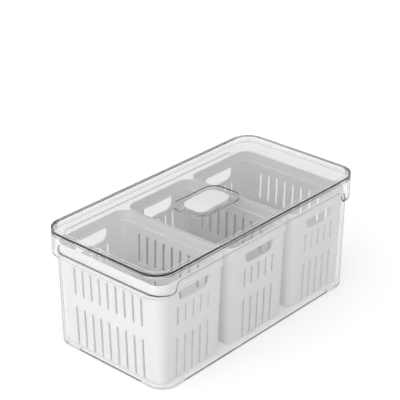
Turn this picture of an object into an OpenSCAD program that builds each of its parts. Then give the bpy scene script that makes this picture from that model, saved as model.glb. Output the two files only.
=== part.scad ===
// Produce keeper: a clear bin with an overhanging collar, three slotted white baskets
// that stand in it, and a clear lid with a rocker vent in a finger well.
// Millimetres. X is the long axis, Y the short axis, and the feet stand on z = 0.

/* [Bin] */
// Length over the collar
bin_length = 378; // [330:1:450]
// Width over the collar
bin_width = 190; // [182:1:240]
// Height from the feet to the rim
bin_height = 156; // [150:1:200]
// Corner radius of the collar
collar_radius = 27; // [22:0.5:34]
// Thickness of the moulded wall and floor
bin_wall = 2.2; // [1.6:0.1:3]
// How far the collar stands out past the tub at the ends
end_overhang = 8.4; // [6:0.1:12]
// How far the collar stands out past the tub at the long sides
side_overhang = 1; // [0.6:0.1:2]
// Depth of the collar at the ends, from the rim down
collar_end_drop = 28.8; // [20:0.2:34]
// Depth of the collar along the long sides
collar_side_drop = 15.1; // [10:0.1:17]
// Length of the deep collar round each corner, from the end face to the S-curve
collar_wrap = 35; // [34:0.5:60]
// Rounding under the collar's lower edge at the ends
collar_rounding = 2.5; // [2:0.5:5]
// Rounding of the rim's inner and outer edges
rim_rounding = 0.8; // [0.3:0.1:0.8]
// How much tighter the tub's corners are than the collar's
tub_corner_step = 3.5; // [2:0.5:6]
// Draft of the tub walls, as growth of each side for each millimetre of height
tub_draft = 0.0163; // [0.005:0.0001:0.02]
// Rounding between the tub's wall and its floor
tub_rounding = 2; // [2:0.5:6]

/* [Feet] */
// Height of the corner feet
foot_height = 1.6; // [0.8:0.1:3]
// Width of a foot's arms
foot_width = 3; // [2:0.5:5]
// How far a foot's arms reach from the tub's corner
foot_reach = 40; // [30:1:60]
// Distance from the tub's outline to a foot
foot_inset = 5; // [4:0.5:12]

/* [Baskets] */
// Gap between the rims of neighbouring baskets
basket_gap = 2.4; // [1:0.1:6]
// Room between the rims of the end baskets and the bin's end walls
basket_end_room = 1.5; // [0.8:0.1:4]
// Room between the baskets' rims and the bin's long walls
basket_side_room = 5; // [2:0.1:10]
// Drop from the bin's rim to the baskets' rims
basket_headroom = 15.2; // [12:0.2:24]
// Wall thickness of a basket
basket_wall = 1.6; // [1.2:0.1:2.2]
// Corner radius of a basket's rim
basket_radius = 16; // [13:0.5:18]
// Height of the rim band
band_height = 15; // [12:0.5:17]
// How far the rim band stands out past the wall
band_step = 1.7; // [1:0.1:2.2]
// Draft of the basket walls, as growth of each side for each millimetre of height
basket_draft = 0.032; // [0.02:0.001:0.045]
// Rounding between a basket's wall and its floor
basket_rounding = 4; // [2:0.5:6]
// Rounding of the rim band's top edges
band_rounding = 0.6; // [0.2:0.1:0.6]

/* [Basket openings] */
// Slots in each row of a wide face
wide_slots = 9; // [5:1:10]
// Distance between slots on a wide face
wide_pitch = 13.8; // [11:0.1:14]
// Slots in each row of a narrow face
narrow_slots = 5; // [3:1:6]
// Distance between slots on a narrow face
narrow_pitch = 13.2; // [11:0.1:14]
// Width of a slot
slot_width = 3.6; // [3:0.1:6]
// Length of the upper slots on a wide face
upper_length = 38.3; // [20:0.1:44]
// Solid wall between the rim band and the upper slots on a wide face
wide_margin = 10; // [6:0.2:16]
// Solid wall between a hand hole and the slots below it
hole_margin = 6; // [4:0.2:10]
// Solid wall between the upper and the lower slots
row_gap = 16.9; // [10:0.1:24]
// How far the lower slots run in under the base
slot_wrap = 7; // [5:0.5:10]
// Width of a hand hole
hole_width = 53; // [40:1:60]
// Height of a hand hole
hole_height = 16.6; // [14:0.2:18]
// Radius of a hand hole's lower corners
hole_radius = 11; // [4:0.5:13]
// Diameter of the drain holes in the base
drain_d = 5.5; // [3:0.5:7]

/* [Lid] */
// Height of the lid's edge above the bin's rim
lid_edge = 5.5; // [4.5:0.1:8]
// Width of the raised bead round the lid
bead_width = 6.4; // [5.5:0.1:9]
// Depth of the flat panel below the bead
panel_drop = 3; // [1.5:0.1:3.2]
// Thickness of the flat panel
panel_wall = 1.8; // [1.4:0.1:2.2]
// Rounding of the bead's top edges
bead_rounding = 0.4; // [0.3:0.1:2]
// Rounding of the lid's lower outer edge
under_rounding = 0.8; // [0.3:0.1:1.5]
// Depth of the locating skirt inside the collar
skirt_depth = 4; // [2:0.5:6]
// Thickness of the locating skirt
skirt_wall = 1.8; // [1.2:0.1:2.4]
// Gap between the skirt and the collar
skirt_gap = 0.5; // [0.3:0.1:1]

/* [Vent] */
// Length of the finger well
well_length = 82; // [76:1:100]
// Width of the finger well
well_width = 51; // [48:1:70]
// Corner radius of the finger well
well_radius = 16; // [12:0.5:20]
// Depth of the finger well below the panel
well_depth = 3; // [2.8:0.1:4]
// Length of the cup that holds the rocker
cup_length = 63; // [58:0.5:66]
// Width of the cup
cup_width = 39; // [36:0.5:42]
// Corner radius of the cup
cup_radius = 13; // [8:0.5:15]
// Depth of the cup below the floor of the well
cup_depth = 5.9; // [5.6:0.1:8]
// Wall thickness of the well and the cup
cup_wall = 1.4; // [1.2:0.1:1.6]
// Length of each vent slot in the cup's long walls
vent_length = 17; // [10:0.5:18]
// Width of the post between two vent slots
vent_post = 7; // [6:0.5:9]

/* [Rocker] */
// Gap between the rocker and the cup's long walls
rocker_side_gap = 0.3; // [0.2:0.1:0.6]
// Gap between the rocker and the cup's ends
rocker_end_gap = 0.7; // [0.6:0.1:1.2]
// Gap between the rocker and the cup's floor
rocker_floor_gap = 0.3; // [0.2:0.1:0.6]
// Tilt at which the vent stands open, in degrees
rocker_tilt = 8; // [4:0.5:8]
// Wall thickness of the rocker
rocker_wall = 1.6; // [1.2:0.1:2]
// Diameter of the pivot pins
pivot_d = 2.6; // [2:0.1:3]
// Gap round a pivot pin
pivot_gap = 0.3; // [0.2:0.1:0.4]
// Height of the pivot above the cup's floor
pivot_rise = 2.2; // [1.9:0.1:2.4]
// Fall of the thumb ramp from the flat top to the pressed end
ramp_fall = 1.7; // [1:0.1:1.8]
// Length of the thumb ramp
ramp_length = 17; // [10:1:22]
// Radius of the flat top's curved edge, seen from above
ramp_radius = 30; // [24:1:60]

/* [Hidden] */
$fn = 96;
eps = 0.01;
past = 1;
arc_steps = 5;

// A length or a point to the nearest thousandth, so that turned and drawn parts of one form meet exactly
function neat(v) = is_list(v) ? [for (part = v) neat(part)] : round(v * 1000) / 1000;

ledge_end = bin_height - collar_end_drop;
ledge_side = bin_height - collar_side_drop;
s_radius = (ledge_side - ledge_end) / 2;
relief_half = bin_length / 2 - collar_wrap;
ledge_growth = tub_draft * (ledge_end - foot_height);
tub_length = bin_length - 2 * end_overhang - 2 * ledge_growth;
tub_width = bin_width - 2 * side_overhang - 2 * tub_draft * (ledge_side - foot_height);
tub_radius = collar_radius - tub_corner_step;
floor_top = foot_height + bin_wall;

basket_rim = bin_height - basket_headroom;
bore_growth = 2 * tub_draft * (basket_rim - foot_height) - 2 * bin_wall;
basket_length = neat((tub_length + bore_growth - 2 * basket_end_room - 2 * basket_gap) / 3);
basket_width = neat(tub_width + bore_growth - 2 * basket_side_room);
basket_height = basket_rim - floor_top;
basket_pitch = basket_length + basket_gap;
basket_shoulder = basket_height - band_height;
basket_flare = basket_draft * basket_shoulder;
base_length = basket_length - 2 * (band_step + basket_flare);
base_width = basket_width - 2 * (band_step + basket_flare);
base_radius = basket_radius - band_step - basket_flare;
upper_top = basket_shoulder - wide_margin;
under_hole_top = basket_shoulder - hole_height - hole_margin;
upper_bottom = upper_top - upper_length;
lower_top = upper_bottom - row_gap;

lid_top = bin_height + lid_edge;
panel_top = lid_top - panel_drop;
panel_under = panel_top - panel_wall;
skirt_inset = bin_wall + skirt_gap;
well_floor = panel_top - well_depth;
cup_under = well_floor - cup_depth;
cup_floor = cup_under + cup_wall;
cup_mouth_length = cup_length - 2 * cup_wall;
cup_mouth_width = cup_width - 2 * cup_wall;
vent_low = cup_floor + rocker_floor_gap;
vent_high = well_floor - cup_wall - rocker_floor_gap;

rocker_length = cup_mouth_length - 2 * rocker_end_gap;
rocker_width = cup_mouth_width - 2 * rocker_side_gap;
rocker_radius = cup_radius - cup_wall;
rocker_under = cup_floor + rocker_floor_gap;
pivot_z = cup_floor + pivot_rise;
pin_reach = rocker_width / 2 + cup_wall;

clear = [0.86, 0.91, 0.93, 0.45];
white = [0.96, 0.96, 0.95];

// Points of an arc about c, from angle a to angle b
function arc(c, r, a, b) =
    [for (i = [0 : arc_steps]) c + r * [cos(a + (b - a) * i / arc_steps), sin(a + (b - a) * i / arc_steps)]];

// Flat outline with round corners
module outline(l, w, r) {
    half_l = neat(l / 2 - r);
    half_w = neat(w / 2 - r);
    square(2 * [half_l, half_w + r], center = true);
    square(2 * [half_l + r, half_w], center = true);
    for (x = [-1, 1], y = [-1, 1])
        translate([x * half_l, y * half_w]) circle(r);
}

// Straight slab between two heights
module slab(l, w, r, z0, z1) {
    translate([0, 0, z0]) linear_extrude(z1 - z0) outline(l, w, r);
}

// Both halves of a section, drawn flat at a distance from the middle
module both_sides(half, section) {
    right = [for (i = [1 : len(section) - 2]) section[i] + [half, 0]];
    left = [for (i = [len(right) - 1 : -1 : 0]) [-right[i][0], right[i][1]]];
    polygon(concat(right, left));
}

// Solid whose corners are turned, and whose sides are drawn, from one profile: points of
// [distance from the corner's centre, height], which start and end at that centre
module moulded(l, w, r, profile) {
    section = neat(profile);
    half_l = neat(l / 2 - r);
    half_w = neat(w / 2 - r);
    for (quarter = [0 : 3])
        translate([(quarter % 3 == 0 ? 1 : -1) * half_l, (quarter < 2 ? 1 : -1) * half_w, 0])
            rotate([0, 0, 90 * quarter]) rotate_extrude(angle = 90) polygon(section);
    rotate([90, 0, 0]) linear_extrude(2 * half_w, center = true) both_sides(half_l, section);
    rotate([90, 0, 90]) linear_extrude(2 * half_l, center = true) both_sides(half_w, section);
}

// Section of a tub wall: a rounded foot, then a wall that leans out by the draft
function tub_section(r, rounding, draft, z0, z1) = concat(
    [[0, z0]],
    arc([r - rounding, z0 + rounding], rounding, -90, 0),
    [[r + draft * (z1 - z0), z1], [0, z1]]);

// Tub of the bin, from z0 to the rim, with its surface moved in by inset
module tub(inset, z0, z1) {
    start = tub_draft * (z0 - foot_height);
    moulded(tub_length - 2 * inset + 2 * start, tub_width - 2 * inset + 2 * start, tub_radius - inset + start,
        tub_section(tub_radius - inset + start, tub_rounding - inset / 2, tub_draft, z0, z1));
}

// What is left open under the shallow side collar, with an S-curve at each end
module collar_relief(grow) {
    half = relief_half + grow;
    low = ledge_end + grow;
    high = ledge_side + grow;
    flare = arc([half + s_radius, low + s_radius], s_radius, 270, 180);
    crest = arc([half - s_radius, high - s_radius], s_radius, 0, 90);
    corner = [half + s_radius, low - s_radius];
    section = concat([[0, 0], corner], flare, crest, [[0, 0]]);
    rotate([90, 0, 0]) linear_extrude(bin_width + 2 * past, center = true) both_sides(0, section);
}

// Profile of the collar: a rounded lower edge, an upright face, then the points of its top
function collar_profile(r, rounding, z0, top) = concat(
    [[0, z0]],
    arc([r - rounding, z0 + rounding], rounding, -90, 0),
    top);

// Outside of the collar, from its ledge to the rounded rim
module collar() {
    r = collar_radius;
    rim = arc([r - rim_rounding, bin_height - rim_rounding], rim_rounding, 0, 90);
    difference() {
        moulded(bin_length, bin_width, r,
            collar_profile(r, collar_rounding, ledge_end, concat(rim, [[0, bin_height]])));
        collar_relief(0);
    }
}

// Inside of the collar, which flares round the inner edge of the rim
module collar_cavity() {
    r = collar_radius - bin_wall;
    wide = r + rim_rounding;
    high = bin_height + past;
    flare = arc([wide, bin_height - rim_rounding], rim_rounding, 180, 90);
    difference() {
        moulded(bin_length - 2 * bin_wall, bin_width - 2 * bin_wall, r,
            collar_profile(r, collar_rounding - bin_wall / 2, ledge_end + bin_wall,
                concat(flare, [[wide, high], [0, high]])));
        collar_relief(bin_wall);
    }
}

// L-shaped foot under each corner
module feet() {
    l = tub_length - 2 * foot_inset;
    w = tub_width - 2 * foot_inset;
    r = tub_radius - foot_inset;
    intersection() {
        difference() {
            slab(l, w, r, 0, foot_height + eps);
            slab(l - 2 * foot_width, w - 2 * foot_width, r - foot_width, -past, foot_height + past);
        }
        for (x = [-1, 1], y = [-1, 1])
            translate([x * tub_length / 2, y * tub_width / 2, 0]) cube(2 * foot_reach, center = true);
    }
}

module bin() {
    color(clear) {
        difference() {
            union() {
                tub(0, foot_height, ledge_side + past);
                collar();
            }
            tub(bin_wall, floor_top, bin_height - rim_rounding);
            collar_cavity();
        }
        feet();
    }
}

// Profile of a basket: base rounding, leaning wall, the step out to the rim band, then its top
function basket_profile(r, rounding, z0, shoulder, top) = concat(
    [[0, z0]],
    arc([r - rounding, z0 + rounding], rounding, -90, 0),
    [[r + basket_flare, shoulder], [r + basket_flare + band_step, shoulder]],
    top);

module basket_outside() {
    r = base_radius;
    edge = r + basket_flare + band_step;
    rim = arc([edge - band_rounding, basket_height - band_rounding], band_rounding, 0, 90);
    moulded(base_length, base_width, r,
        basket_profile(r, basket_rounding, 0, basket_shoulder, concat(rim, [[0, basket_height]])));
}

module basket_cavity() {
    r = base_radius - basket_wall;
    wide = r + basket_flare + band_step + band_rounding;
    high = basket_height + past;
    flare = arc([wide, basket_height - band_rounding], band_rounding, 180, 90);
    moulded(base_length - 2 * basket_wall, base_width - 2 * basket_wall, r,
        basket_profile(r, basket_rounding - basket_wall / 2, basket_wall, basket_shoulder + basket_wall,
            concat(flare, [[wide, high], [0, high]])));
}

// One upright slot with round ends, drawn flat
module slot(low, high) {
    r = slot_width / 2;
    translate([-r, low + r]) square([slot_width, high - low - slot_width]);
    for (y = [low + r, high - r])
        translate([0, y]) circle(r);
}

// Two rows of slots across one face, drawn flat
module slot_rows(count, pitch, top) {
    for (i = [0 : count - 1])
        translate([(i - (count - 1) / 2) * pitch, 0]) {
            slot(upper_bottom, top);
            slot(-slot_width, lower_top);
        }
}

// Hand hole with round lower corners and a straight top under the band, drawn flat
module hand_hole() {
    low = basket_shoulder - hole_height;
    intersection() {
        translate([-hole_width / 2, low]) square([hole_width, hole_height]);
        union() {
            translate([-hole_width / 2, low + hole_radius]) square([hole_width, hole_height]);
            translate([hole_radius - hole_width / 2, low]) square([hole_width - 2 * hole_radius, hole_height]);
            for (side = [-1, 1])
                translate([side * (hole_width / 2 - hole_radius), low + hole_radius]) circle(hole_radius);
        }
    }
}

// Cutters for one pair of opposite faces: they stop short of the base's middle
module face_cuts(base, rim) {
    depth = (rim - base) / 2 + slot_wrap;
    for (side = [0, 180])
        rotate([0, 0, side]) translate([0, -rim / 2 - eps, 0])
            rotate([90, 0, 0]) mirror([0, 0, 1]) linear_extrude(depth) children();
}

module drain_holes() {
    for (x = [0 : narrow_slots - 1], y = [1 : wide_slots - 2])
        translate([(x - (narrow_slots - 1) / 2) * narrow_pitch, (y - (wide_slots - 1) / 2) * wide_pitch, -past])
            cylinder(h = basket_wall + 2 * past, d = drain_d);
}

module basket(position) {
    color(white) translate([position * basket_pitch, 0, floor_top]) difference() {
        basket_outside();
        basket_cavity();
        rotate([0, 0, 90]) face_cuts(base_length, basket_length) slot_rows(wide_slots, wide_pitch, upper_top);
        face_cuts(base_width, basket_width) {
            slot_rows(narrow_slots, narrow_pitch, under_hole_top);
            hand_hole();
        }
        drain_holes();
    }
}

module basket_left() { basket(-1); }
module basket_middle() { basket(0); }
module basket_right() { basket(1); }

// Edge of the lid: a bar with rounded top edges that lies on the bin's rim
module lid_edge_form() {
    r = collar_radius;
    moulded(bin_length, bin_width, r, concat([[0, bin_height]],
        arc([r - under_rounding, bin_height + under_rounding], under_rounding, -90, 0),
        arc([r - bead_rounding, lid_top - bead_rounding], bead_rounding, 0, 90), [[0, lid_top]]));
}

// The tray that the bead leaves above the flat panel
module lid_tray() {
    r = collar_radius - bead_width;
    soft = min(bead_rounding, panel_drop);
    moulded(bin_length - 2 * bead_width, bin_width - 2 * bead_width, r,
        concat([[0, panel_top], [r, panel_top]],
            arc([r + soft, lid_top - soft], soft, 180, 90), [[r + soft, lid_top + past], [0, lid_top + past]]));
}

module lid_skirt() {
    l = bin_length - 2 * skirt_inset;
    w = bin_width - 2 * skirt_inset;
    slab(l, w, collar_radius - skirt_inset, bin_height - skirt_depth, bin_height + eps);
}

module lid_underside() {
    inset = skirt_inset + skirt_wall;
    slab(bin_length - 2 * inset, bin_width - 2 * inset, collar_radius - inset,
        bin_height - skirt_depth - past, panel_under);
}

// Two vent slots in each long wall of the cup, with a post between them
module vent_slots() {
    for (side = [-1, 1])
        translate([side * (vent_post + vent_length) / 2, 0, (vent_low + vent_high) / 2])
            cube([vent_length, cup_width + 2 * past, vent_high - vent_low], center = true);
}

module lid() {
    color(clear) difference() {
        union() {
            difference() {
                union() {
                    lid_edge_form();
                    lid_skirt();
                }
                lid_tray();
                lid_underside();
            }
            slab(well_length + 2 * cup_wall, well_width + 2 * cup_wall, well_radius + cup_wall,
                well_floor - cup_wall, panel_top);
            slab(cup_length, cup_width, cup_radius, cup_under, well_floor);
        }
        slab(well_length, well_width, well_radius, well_floor, panel_top + past);
        slab(cup_mouth_length, cup_mouth_width, cup_radius - cup_wall, cup_floor, well_floor + past);
        vent_slots();
        translate([0, 0, pivot_z]) rotate([90, 0, 0])
            cylinder(h = cup_width + 2 * past, d = pivot_d + 2 * pivot_gap, center = true);
    }
}

// Side view of the rocker: its pressed half is cut away below by the tilt
module rocker_side() {
    half = rocker_length / 2 + past;
    lift = half * tan(rocker_tilt);
    low = rocker_under;
    rotate([90, 0, 0]) linear_extrude(rocker_width + 2 * past, center = true)
        polygon([[0, low], [half, low], [half, panel_top], [-half, panel_top], [-half, low + lift]]);
}

// Flat top whose curved edge falls away into the thumb ramp
module rocker_crown() {
    edge = ramp_length - rocker_length / 2;
    translate([edge + ramp_radius, 0, panel_top - ramp_fall])
        cylinder(h = ramp_fall, r1 = ramp_radius + ramp_length, r2 = ramp_radius);
}

module vent_rocker() {
    color(white) {
        difference() {
            intersection() {
                rocker_side();
                slab(rocker_length, rocker_width, rocker_radius, rocker_under, panel_top);
                union() {
                    slab(rocker_length + past, rocker_width + past, rocker_radius, rocker_under - past,
                        panel_top - ramp_fall);
                    rocker_crown();
                }
            }
            slab(rocker_length - 2 * rocker_wall, rocker_width - 2 * rocker_wall, rocker_radius - rocker_wall,
                rocker_under - past, panel_top - ramp_fall - rocker_wall);
        }
        for (side = [0, 180])
            rotate([0, 0, side]) translate([0, -pin_reach, pivot_z]) rotate([-90, 0, 0])
                cylinder(h = cup_wall + rocker_wall, d = pivot_d);
    }
}

bin();
basket_left();
basket_middle();
basket_right();
lid();
vent_rocker();
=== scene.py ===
import math

import bpy
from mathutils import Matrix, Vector

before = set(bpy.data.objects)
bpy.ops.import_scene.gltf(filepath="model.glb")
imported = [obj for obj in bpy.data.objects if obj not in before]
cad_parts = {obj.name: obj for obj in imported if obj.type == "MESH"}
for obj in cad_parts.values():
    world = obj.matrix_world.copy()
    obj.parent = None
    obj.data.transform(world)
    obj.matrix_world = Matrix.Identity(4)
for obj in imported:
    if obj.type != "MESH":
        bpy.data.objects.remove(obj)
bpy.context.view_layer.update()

MM = 0.001

# Clear plastic: the bin and the lid
CLEAR_IOR = 1.5                 # a little under styrene's own 1.59
POLISHED = 0.02                 # roughness that a polished mould leaves
CLEAR_TINT = "CBCCCC"           # grey that white light turns to deep inside
BIN_DENSITY = 22.0              # how fast it turns grey inside the bin's walls
LID_DENSITY = 40.0              # and inside the lid, whose edge is darker
FACE_PASSES = "FAFAFA"          # light from lamps that gets through one face
PAINTED_CORNER_SHADE = "2C2E30"          # painted shade: a dark colour painted on a round upright corner seen edge on
PAINTED_SHADE_TURN = (0.05, 0.3)       # for the painted shade, how far a face turns from both walls: no shade, full shade
PAINTED_SHADE_SLANT = (0.6, 0.85)      # for the painted shade, how nearly edge on it is seen: no shade, full shade

# White plastic: the baskets and the rocker
WHITE_TONE = "F8F8F7"
WHITE_IOR = 1.49                # polypropylene
SATIN = 0.42                    # roughness that a finely blasted mould leaves
SOAK_DEPTH = 2.5 * MM           # how far light soaks in, more than the wall is thick
GRAIN = 1.2 * MM                # drawn as coarse as it needs to show; the real grain is finer
GRAIN_HEIGHT = 0.05 * MM
GRAIN_STRENGTH = 0.06

# Floor
FLOOR_SIZE = 30.0
FLOOR_HEIGHT = -0.2 * MM        # just under the feet, so that no two faces share a plane
FLOOR_TONE = "E4E4E4"
FLOOR_LIFT = 0.41               # brings the lit floor up to the white of the backdrop

# Sky: brighter towards one side, as in a room with a window
SKY_SIDE = Vector((-0.78, -0.2, 0.72))
SKY_TURN = (-0.5, 0.8)          # how far a direction leans to that side: dimmest, brightest
SKY_LEVEL = (0.32, 0.98)        # light from there: dimmest, brightest

# Window: a soft lamp
WINDOW_PLACE = Vector((-2.0, -0.2, 0.9))
WINDOW_AIM = Vector((0, 0, 0.1))
WINDOW_WIDTH = 1.6
WINDOW_HEIGHT = 1.2
WINDOW_WATTS = 8

# How many times a ray may turn or pass a face, because it crosses many clear ones
BOUNCES = 32

# Camera: the photograph's viewpoint, fitted to the corners of the bin, lid and baskets
LENS_MM = 123.78
SENSOR_MM = 36
EYE_PLACE = (-1.14356, -1.01043, 0.91526)
EYE_TILT = 63.61                # degrees up from looking straight down
EYE_TURN = -48.223              # degrees about Z
EYE_NEAR = 0.05
EYE_FAR = 20


# Colours and nodes

def linear(hex_colour):
    """The linear colour of an sRGB hex value such as "F4F4F2"."""
    channels = [int(hex_colour[i:i + 2], 16) / 255 for i in (0, 2, 4)]
    return (*[c / 12.92 if c <= 0.04045 else ((c + 0.055) / 1.055) ** 2.4 for c in channels], 1.0)


WHITE = linear("FFFFFF")


def new_material(name):
    """A material with an empty node tree, the tree and its output node."""
    material = bpy.data.materials.new(name)
    material.use_nodes = True
    tree = material.node_tree
    tree.nodes.clear()
    return material, tree, tree.nodes.new("ShaderNodeOutputMaterial")


def add(tree, kind, settings=None, **inputs):
    """Adds a node. Settings are its properties. An input has its socket's name, or a low dash and
    the socket's number, and it is a value or another node's output."""
    node = tree.nodes.new("ShaderNode" + kind)
    for name, value in (settings or {}).items():
        setattr(node, name, value)
    for name, value in inputs.items():
        socket = node.inputs[int(name[1:])] if name[0] == "_" else node.inputs[name.replace("_", " ")]
        if isinstance(value, bpy.types.NodeSocket):
            tree.links.new(value, socket)
        else:
            socket.default_value = value
    return node


# Materials

def painted_corner_shade_mask(tree):
    """Mask of the painted shade: 1 on a round upright corner seen edge on and 0 elsewhere. A corner's
    face is turned away from both walls, so its normal leans both along X and along Y."""
    place = add(tree, "TexCoord")
    normal = add(tree, "SeparateXYZ", Vector=place.outputs["Normal"])
    along = add(tree, "Math", {"operation": "ABSOLUTE"}, _0=normal.outputs["X"])
    across = add(tree, "Math", {"operation": "ABSOLUTE"}, _0=normal.outputs["Y"])
    least = add(tree, "Math", {"operation": "MINIMUM"}, _0=along.outputs[0], _1=across.outputs[0])
    corner = add(tree, "MapRange", {"interpolation_type": "SMOOTHSTEP"}, Value=least.outputs[0],
                 From_Min=PAINTED_SHADE_TURN[0], From_Max=PAINTED_SHADE_TURN[1], To_Min=0.0, To_Max=1.0)
    slant = add(tree, "LayerWeight", Blend=0.5)
    edge_on = add(tree, "MapRange", {"interpolation_type": "SMOOTHSTEP"}, Value=slant.outputs["Facing"],
                  From_Min=PAINTED_SHADE_SLANT[0], From_Max=PAINTED_SHADE_SLANT[1], To_Min=0.0, To_Max=1.0)
    return add(tree, "Math", {"operation": "MULTIPLY"}, _0=corner.outputs[0], _1=edge_on.outputs[0])


def clear_plastic(name, density):
    """Polished clear plastic: it bends what is seen through it. Its round upright corners have painted
    shade where the wall is seen edge on: a dark base colour standing in for light that runs a long way
    inside it before it gets out."""
    material, tree, out = new_material(name)
    # Painted shade: a dark colour mixed into the base colour on round corners seen edge on
    corner_shade = painted_corner_shade_mask(tree)
    # Sockets 6 and 7 of a Mix node are its two colours, and output 2 is the mixed one
    colour = add(tree, "Mix", {"data_type": "RGBA"}, _0=corner_shade.outputs[0], _6=WHITE, _7=linear(PAINTED_CORNER_SHADE))
    surface = add(tree, "BsdfPrincipled", Base_Color=colour.outputs[2], Roughness=POLISHED,
                  IOR=CLEAR_IOR, Transmission_Weight=1.0)
    lamps = add(tree, "BsdfTransparent", Color=linear(FACE_PASSES))
    path = add(tree, "LightPath")
    mix = add(tree, "MixShader", _0=path.outputs["Is Shadow Ray"], _1=surface.outputs[0],
              _2=lamps.outputs[0])
    inside = add(tree, "VolumeAbsorption", Color=linear(CLEAR_TINT), Density=density)
    tree.links.new(mix.outputs[0], out.inputs["Surface"])
    tree.links.new(inside.outputs[0], out.inputs["Volume"])
    return material


def white_plastic(name):
    """Moulded white polypropylene: a satin skin with a very fine grain, and light that soaks
    through the thin wall, so that the insides of the baskets look light too."""
    material, tree, out = new_material(name)
    place = add(tree, "TexCoord")
    grain = add(tree, "TexNoise", Vector=place.outputs["Object"], Scale=1 / GRAIN, Detail=3.0)
    bump = add(tree, "Bump", Strength=GRAIN_STRENGTH, Distance=GRAIN_HEIGHT, Height=grain.outputs["Fac"])
    surface = add(tree, "BsdfPrincipled", Base_Color=linear(WHITE_TONE), Roughness=SATIN, IOR=WHITE_IOR,
                  Subsurface_Weight=1.0, Subsurface_Radius=(1, 1, 1), Subsurface_Scale=SOAK_DEPTH,
                  Normal=bump.outputs[0])
    tree.links.new(surface.outputs[0], out.inputs["Surface"])
    return material


def dress(nodes, material):
    """Gives CAD nodes their finish and leaves their shapes alone."""
    for node in nodes:
        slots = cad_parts[node].data.materials
        slots.clear()
        slots.append(material)


# Studio

def floor():
    """A pale floor that keeps the shadow. To the camera, and in and through the clear plastic, it is
    lifted to the white of the backdrop, and it casts no more light on the object for that."""
    bpy.ops.object.select_all(action="DESELECT")
    bpy.ops.mesh.primitive_plane_add(size=FLOOR_SIZE, location=(0, 0, FLOOR_HEIGHT))
    plane = bpy.context.object
    plane.name = "floor"
    material, tree, out = new_material("white studio floor, matt paint")
    path = add(tree, "LightPath")
    direct = add(tree, "Math", {"operation": "MAXIMUM"}, _0=path.outputs["Is Camera Ray"],
                 _1=path.outputs["Is Glossy Ray"])
    seen = add(tree, "Math", {"operation": "MAXIMUM"}, _0=direct.outputs[0],
               _1=path.outputs["Is Transmission Ray"])
    lit = add(tree, "BsdfDiffuse", Color=linear(FLOOR_TONE))
    lift = add(tree, "Emission", Color=WHITE, Strength=FLOOR_LIFT)
    both = add(tree, "AddShader", _0=lit.outputs[0], _1=lift.outputs[0])
    mix = add(tree, "MixShader", _0=seen.outputs[0], _1=lit.outputs[0], _2=both.outputs[0])
    tree.links.new(mix.outputs[0], out.inputs["Surface"])
    plane.data.materials.append(material)


def sky():
    """Soft light from all round, brighter towards the window, behind a plain white backdrop that
    only the camera sees."""
    world = bpy.data.worlds.new("studio")
    bpy.context.scene.world = world
    world.use_nodes = True
    tree = world.node_tree
    tree.nodes.clear()
    out = tree.nodes.new("ShaderNodeOutputWorld")
    place = add(tree, "TexCoord")
    toward = add(tree, "VectorMath", {"operation": "DOT_PRODUCT"}, _0=place.outputs["Generated"],
                 _1=SKY_SIDE)
    level = add(tree, "MapRange", Value=toward.outputs["Value"], From_Min=SKY_TURN[0],
                From_Max=SKY_TURN[1], To_Min=SKY_LEVEL[0], To_Max=SKY_LEVEL[1])
    dome = add(tree, "Background", Color=WHITE, Strength=level.outputs[0])
    backdrop = add(tree, "Background", Color=WHITE, Strength=1.0)
    path = add(tree, "LightPath")
    mix = add(tree, "MixShader", _0=path.outputs["Is Camera Ray"], _1=dome.outputs[0],
              _2=backdrop.outputs[0])
    tree.links.new(mix.outputs[0], out.inputs["Surface"])


def window():
    """A wide lamp to the left of the keeper, kept out of reflections so that it can't hide the lid."""
    lamp = bpy.data.lights.new("window", "AREA")
    lamp.shape = "RECTANGLE"
    lamp.size, lamp.size_y = WINDOW_WIDTH, WINDOW_HEIGHT
    lamp.energy = WINDOW_WATTS
    pane = bpy.data.objects.new("window", lamp)
    pane.location = WINDOW_PLACE
    pane.rotation_euler = (WINDOW_AIM - WINDOW_PLACE).to_track_quat("-Z", "Y").to_euler()
    pane.visible_glossy = False
    bpy.context.scene.collection.objects.link(pane)


def light_paths():
    cycles = bpy.context.scene.cycles
    cycles.max_bounces = BOUNCES
    cycles.glossy_bounces = BOUNCES
    cycles.transmission_bounces = BOUNCES
    cycles.transparent_max_bounces = BOUNCES


def camera():
    """The camera at the photograph's viewing angle."""
    data = bpy.data.cameras.new("camera")
    data.lens = LENS_MM
    data.sensor_width = SENSOR_MM
    data.clip_start, data.clip_end = EYE_NEAR, EYE_FAR
    eye = bpy.data.objects.new("camera", data)
    eye.location = EYE_PLACE
    eye.rotation_euler = (math.radians(EYE_TILT), 0, math.radians(EYE_TURN))
    bpy.context.scene.collection.objects.link(eye)
    bpy.context.scene.camera = eye


for spare in ("Cube", "Light", "Camera"):
    if spare in bpy.data.objects:
        bpy.data.objects.remove(bpy.data.objects[spare])

bpy.context.scene.view_settings.view_transform = "Standard"
camera()
floor()
sky()
window()
light_paths()

dress(["bin"], clear_plastic("clear styrene of the bin, moulded and polished", BIN_DENSITY))
dress(["lid"], clear_plastic("clear styrene of the lid, moulded and polished", LID_DENSITY))
dress(["basket_left", "basket_middle", "basket_right", "vent_rocker"],
      white_plastic("white polypropylene, moulded satin"))
